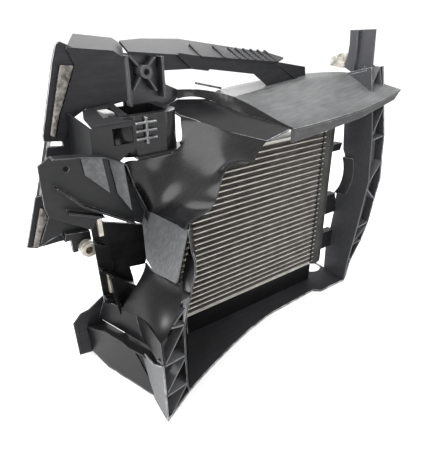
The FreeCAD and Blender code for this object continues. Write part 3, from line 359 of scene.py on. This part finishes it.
# Metals, rubber and foam
metals = {
    "brazedCore": {"tone": (0.5, 0.485, 0.45), "stain": (0.3, 0.285, 0.255), "rough": 0.42,
                   "metal": 0.6, "scale": 60.0},
    # far darker than the core: painted shade on the aluminium tanks and the small parts at them
    "paintedShadeTank": {"tone": (0.035, 0.034, 0.033), "stain": (0.014, 0.0135, 0.013), "rough": 0.5,
                 "metal": 0.3, "scale": 50.0},
    "finSheet": {"tone": (0.3, 0.287, 0.265), "stain": (0.16, 0.15, 0.134), "rough": 0.5,
                 "metal": 0.5, "scale": 45.0},
    "zincClip": {"tone": (0.62, 0.59, 0.52), "stain": (0.33, 0.3, 0.24), "rough": 0.35,
                 "metal": 0.8, "scale": 120.0},
}


# What all the metals share
metalSkin = {
    "stainFrom": 0.35,      # the cloud's value where a stain starts
    "stainTo": 0.72,        # and where it is full
    "roughLift": 0.25,      # the most that the cloud adds to the roughness
    "bump": 0.3,
    "bumpDeep": 0.0004,
}


def makeMetal(name, spec):
    material, shader = newMaterial(name)
    tree = material.node_tree
    coord = addNode(tree, "ShaderNodeTexCoord")
    cloud = addNode(tree, "ShaderNodeTexNoise", [
        ("Vector", coord.outputs["Object"]), ("Scale", spec["scale"]), ("Detail", 6.0)])
    stain = addNode(tree, "ShaderNodeMapRange", [
        ("Value", cloud.outputs["Fac"]), ("From Min", metalSkin["stainFrom"]),
        ("From Max", metalSkin["stainTo"])])
    tint = addMix(tree, stain.outputs["Result"], spec["tone"] + (1,), spec["stain"] + (1,))
    tree.links.new(tint, shader.inputs["Base Color"])
    rough = addNode(tree, "ShaderNodeMapRange", [
        ("Value", cloud.outputs["Fac"]), ("To Min", spec["rough"]),
        ("To Max", spec["rough"] + metalSkin["roughLift"])])
    tree.links.new(rough.outputs["Result"], shader.inputs["Roughness"])
    grain = addNode(tree, "ShaderNodeGroup", node_tree=mouldGrain)
    addBump(tree, shader, grain.outputs["Height"], metalSkin["bump"], metalSkin["bumpDeep"])
    shader.inputs["Metallic"].default_value = spec["metal"]
    return material


rubber = {"tone": (0.02, 0.02, 0.021), "dustTone": (0.16, 0.155, 0.15), "rough": 0.75,
          "bump": 0.4, "bumpDeep": 0.0005}


def makeRubber(name, spec):
    material, shader = newMaterial(name)
    tree = material.node_tree
    dust = addNode(tree, "ShaderNodeGroup", node_tree=settledDust)
    tint = addMix(tree, dust.outputs["Mask"], spec["tone"] + (1,), spec["dustTone"] + (1,))
    tree.links.new(tint, shader.inputs["Base Color"])
    grain = addNode(tree, "ShaderNodeGroup", node_tree=mouldGrain)
    addBump(tree, shader, grain.outputs["Height"], spec["bump"], spec["bumpDeep"])
    shader.inputs["Roughness"].default_value = spec["rough"]
    return material


foams = {
    "openFoam": {"light": (0.5, 0.475, 0.42), "dark": (0.16, 0.15, 0.13), "cell": 900.0,
                 "patch": 90.0},
    # a darker copy of the open foam, for the upper and lower seals
    "darkerFoam": {"light": (0.2, 0.187, 0.165), "dark": (0.04, 0.037, 0.033), "cell": 900.0,
                  "patch": 140.0},
}


# What both foams share
foamSkin = {
    "mottleFrom": 0.38,     # the cloud's value where the light tone starts
    "mottleTo": 0.62,
    "pitShade": 0.7,         # share of the tone left in the middle of a cell: painted shade in the pits
    "pitWide": 0.5,         # how far from its middle the tone is full again
    "rough": 0.95,
    "bump": 0.6,
    "bumpDeep": 0.001,
}


def makeFoam(name, spec):
    material, shader = newMaterial(name)
    tree = material.node_tree
    coord = addNode(tree, "ShaderNodeTexCoord")
    cells = addNode(tree, "ShaderNodeTexVoronoi", [("Vector", coord.outputs["Object"]),
                                                   ("Scale", spec["cell"])])
    cloud = addNode(tree, "ShaderNodeTexNoise", [("Vector", coord.outputs["Object"]),
                                                 ("Scale", spec["patch"]), ("Detail", 8.0),
                                                 ("Roughness", 0.75)])
    mottled = addNode(tree, "ShaderNodeMapRange", [
        ("Value", cloud.outputs["Fac"]), ("From Min", foamSkin["mottleFrom"]),
        ("From Max", foamSkin["mottleTo"])])
    tint = addMix(tree, mottled.outputs["Result"], spec["dark"] + (1,), spec["light"] + (1,))
    # painted shade: darker in the middle of each cell, where the bump makes a pit
    pitShaded = addNode(tree, "ShaderNodeMapRange", [
        ("Value", cells.outputs["Distance"]), ("From Max", foamSkin["pitWide"]),
        ("To Min", foamSkin["pitShade"])])
    shade = addMix(tree, 1.0, tint, pitShaded.outputs["Result"], blend_type="MULTIPLY")
    tree.links.new(shade, shader.inputs["Base Color"])
    addBump(tree, shader, cells.outputs["Distance"], foamSkin["bump"], foamSkin["bumpDeep"])
    shader.inputs["Roughness"].default_value = foamSkin["rough"]
    return material


finishes = {name: makePlastic(name, spec) for name, spec in plastics.items()}
edgeHighlightTwins = {name: makePlastic(name, spec, edge=True) for name, spec in plastics.items()}
finishes.update({name: makeMetal(name, spec) for name, spec in metals.items()})
finishes["agedRubber"] = makeRubber("agedRubber", rubber)
finishes.update({name: makeFoam(name, spec) for name, spec in foams.items()})
print("materials made:", len(finishes) + len(edgeHighlightTwins))


# Which finish each carried-over node wears; the rest are satin duct plastic
nodeFinish = {
    "glossCowl": ["left_cowl", "visor_step_wall", "left_ledge", "hose_shroud_tower"],
    "dustyTop": ["top_visor", "rear_deck"],
    "darkTop": ["support_arm", "outlet_flange", "outlet_box", "rear_foot", "duct_floor"],
    # these wear painted shade, a darker copy of the duct plastic
    "paintedShadeDuct": ["left_side_panel", "left_side_step", "left_lower_panel", "left_recess_panel",
                  "left_side_shelf", "left_inner_wall", "rear_side_wall", "cup_bracket",
                  "bracket_post", "core_base_baffle"],
    # these wear painted light, a lighter copy of the duct plastic
    "paintedLightWall": ["right_wall", "right_outer_skin", "boss_panel", "screw_tab", "screw_tab_foot",
                 "outlet_side_wall"],
    "litRibs": ["left_truss_ribs", "right_truss_ribs", "rib_grid"],
    # these wear painted light, a lighter copy of the duct plastic
    "paintedLightFacet": ["left_facet_panel", "left_corner_panel", "bracket_gussets"],
    "brazedCore": ["core_tubes", "core_side_plates", "coolant_inlet_spigot",
                   "coolant_outlet_spigot"],
    # these wear the painted shade of the tanks
    "paintedShadeTank": ["right_header_tank", "left_header_tank", "tank_end_caps",
                 "core_locating_pins", "boss_sleeve"],
    "finSheet": ["core_fins"],
    "zincClip": ["metal_clips", "pressure_fitting"],
    "agedRubber": ["rubber_grommets"],
    "openFoam": ["tab_foam_pad"],
    "darkerFoam": ["upper_foam_seal", "lower_foam_seal"],
}
rounding = {
    "width": 0.0009,
    "tubeNose": 0.00095,    # nearly half a tube's thickness, so its front is round
    "segments": 2,
    "sharp": 35,            # degrees; only edges sharper than this are rounded
    "weld": 0.00001,        # metres; closer corners are joined first
    "densest": 4000,        # faces; a node with more isn't rounded
}


def dressNode(name, finish, spec):
    node = nodes[name]
    if not node.material_slots:
        node.data.materials.append(None)
    for slot in node.material_slots:
        slot.link = "OBJECT"
        slot.material = finishes[finish]
    rounded = finish in plastics or name == "core_tubes"
    if not rounded or len(node.data.polygons) > spec["densest"]:
        return
    # the rounded edges wear the lighter twin, a painted highlight
    node.data.materials.append(edgeHighlightTwins.get(finish, finishes[finish]))
    weld = node.modifiers.new("join", "WELD")
    weld.merge_threshold = spec["weld"]
    bevel = node.modifiers.new("round", "BEVEL")
    bevel.width = spec["tubeNose"] if name == "core_tubes" else spec["width"]
    bevel.segments = spec["segments"]
    bevel.limit_method = "ANGLE"
    bevel.angle_limit = math.radians(spec["sharp"])
    bevel.material = len(node.material_slots) - 1
    bevel.harden_normals = True


wears = {name: finish for finish, names in nodeFinish.items() for name in names}
for name in nodes:
    dressNode(name, wears.get(name, "satinDuct"), rounding)
print("nodes dressed")


# Folded fins between the tubes
fins = {
    "fold": 0.0032,         # metres from one fold to the next on the same side
    "thick": 0.00012,
    "rows": 27,
    "inset": 0.0008,        # in from the solid's front and back
    "tubeHigh": 0.002,
}


def addPiece(name, mesh, finish):
    obj = bpy.data.objects.new(name, mesh)
    bpy.context.scene.collection.objects.link(obj)
    mesh.materials.append(finish)
    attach(obj, "root")
    return obj


def makeFins(spec):
    low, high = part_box("core_fins")
    pitch = (high.z - low.z + spec["tubeHigh"]) / spec["rows"]
    across = high.x - low.x
    count = int(across / spec["fold"]) * 2
    verts, faces = [], []
    for row in range(spec["rows"]):
        bottom = low.z + row * pitch
        top = bottom + pitch - spec["tubeHigh"]
        start = len(verts)
        for i in range(count + 1):
            x = low.x + across * i / count
            z = top if i % 2 else bottom
            verts.append((x, low.y + spec["inset"], z))
            verts.append((x, high.y - spec["inset"], z))
        for i in range(count):
            a = start + 2 * i
            faces.append((a, a + 1, a + 3, a + 2))
    mesh = bpy.data.meshes.new("foldedFins")
    mesh.from_pydata(verts, [], faces)
    obj = addPiece("foldedFins", mesh, finishes["finSheet"])
    thick = obj.modifiers.new("thick", "SOLIDIFY")
    thick.thickness = spec["thick"]
    thick.offset = 0
    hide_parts("core_fins")


makeFins(fins)
print("fins folded")


# Brazed collars where the tubes enter the right tank
collars = {
    "count": 28,
    "wide": 0.0032,
    "high": 0.0046,
    "proud": 0.0012,        # in front of the tubes
    "deep": 0.004,          # back along the tubes
    "chamfer": 0.0009,
    "overTank": 0.0008,     # lap onto the tank
    "tubeHigh": 0.002,
}


def makeCollars(spec):
    low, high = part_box("core_tubes")
    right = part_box("right_header_tank")[0].x
    pitch = (high.z - low.z - spec["tubeHigh"]) / (spec["count"] - 1)
    verts, faces = [], []
    for row in range(spec["count"]):
        z = low.z + spec["tubeHigh"] / 2 + row * pitch
        x = right - spec["wide"] + spec["overTank"]
        start = len(verts)
        for y, shrink in ((low.y + spec["deep"], 0), (low.y, 0),
                          (low.y - spec["proud"], spec["chamfer"])):
            for dx, dz in ((shrink, -1), (spec["wide"] - shrink, -1),
                           (spec["wide"] - shrink, 1), (shrink, 1)):
                verts.append((x + dx, y, z + dz * (spec["high"] / 2 - shrink)))
        faces.append(tuple(start + i for i in (3, 2, 1, 0)))
        faces.append(tuple(start + 8 + i for i in range(4)))
        for ring in (0, 4):
            for i in range(4):
                a, b = start + ring + i, start + ring + (i + 1) % 4
                faces.append((a, b, b + 4, a + 4))
    mesh = bpy.data.meshes.new("tubeCollars")
    mesh.from_pydata(verts, [], faces)
    # the collars wear the tanks' painted shade
    addPiece("tubeCollars", mesh, finishes["paintedShadeTank"])


makeCollars(collars)
print("tube collars made")


# Foam seals: soft blocks with a rough open surface
foam = {
    "pieces": {"tab_foam_pad": "tabFoam", "upper_foam_seal": "upperFoam",
               "lower_foam_seal": "lowerFoam"},
    "voxel": 0.0016,
    "softening": 4,         # smoothing rounds
    "lumps": 420,           # per metre
    "lumpHigh": 0.0007,
    "shrink": 0.0005,       # pulls the skin in, to make room for the lumps
}


def makeFoamPiece(nodeName, pieceName, spec):
    source = nodes[nodeName]
    mesh = source.data.copy()
    mesh.name = pieceName
    mesh.materials.clear()
    obj = addPiece(pieceName, mesh, finishes[wears[nodeName]])
    remesh = obj.modifiers.new("skin", "REMESH")
    remesh.mode = "VOXEL"
    remesh.voxel_size = spec["voxel"]
    smooth = obj.modifiers.new("soften", "SMOOTH")
    smooth.iterations = spec["softening"]
    bpy.context.view_layer.update()
    evaluated = obj.evaluated_get(bpy.context.evaluated_depsgraph_get())
    rough = bpy.data.meshes.new_from_object(evaluated)
    for vertex in rough.vertices:
        push = noise.noise(vertex.co * spec["lumps"]) * spec["lumpHigh"] - spec["shrink"]
        vertex.co += vertex.normal * push
    obj.modifiers.clear()
    obj.data = rough
    for face in rough.polygons:
        face.use_smooth = True
    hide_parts(nodeName)


for nodeName, pieceName in foam["pieces"].items():
    makeFoamPiece(nodeName, pieceName, foam)
print("foam seals made")
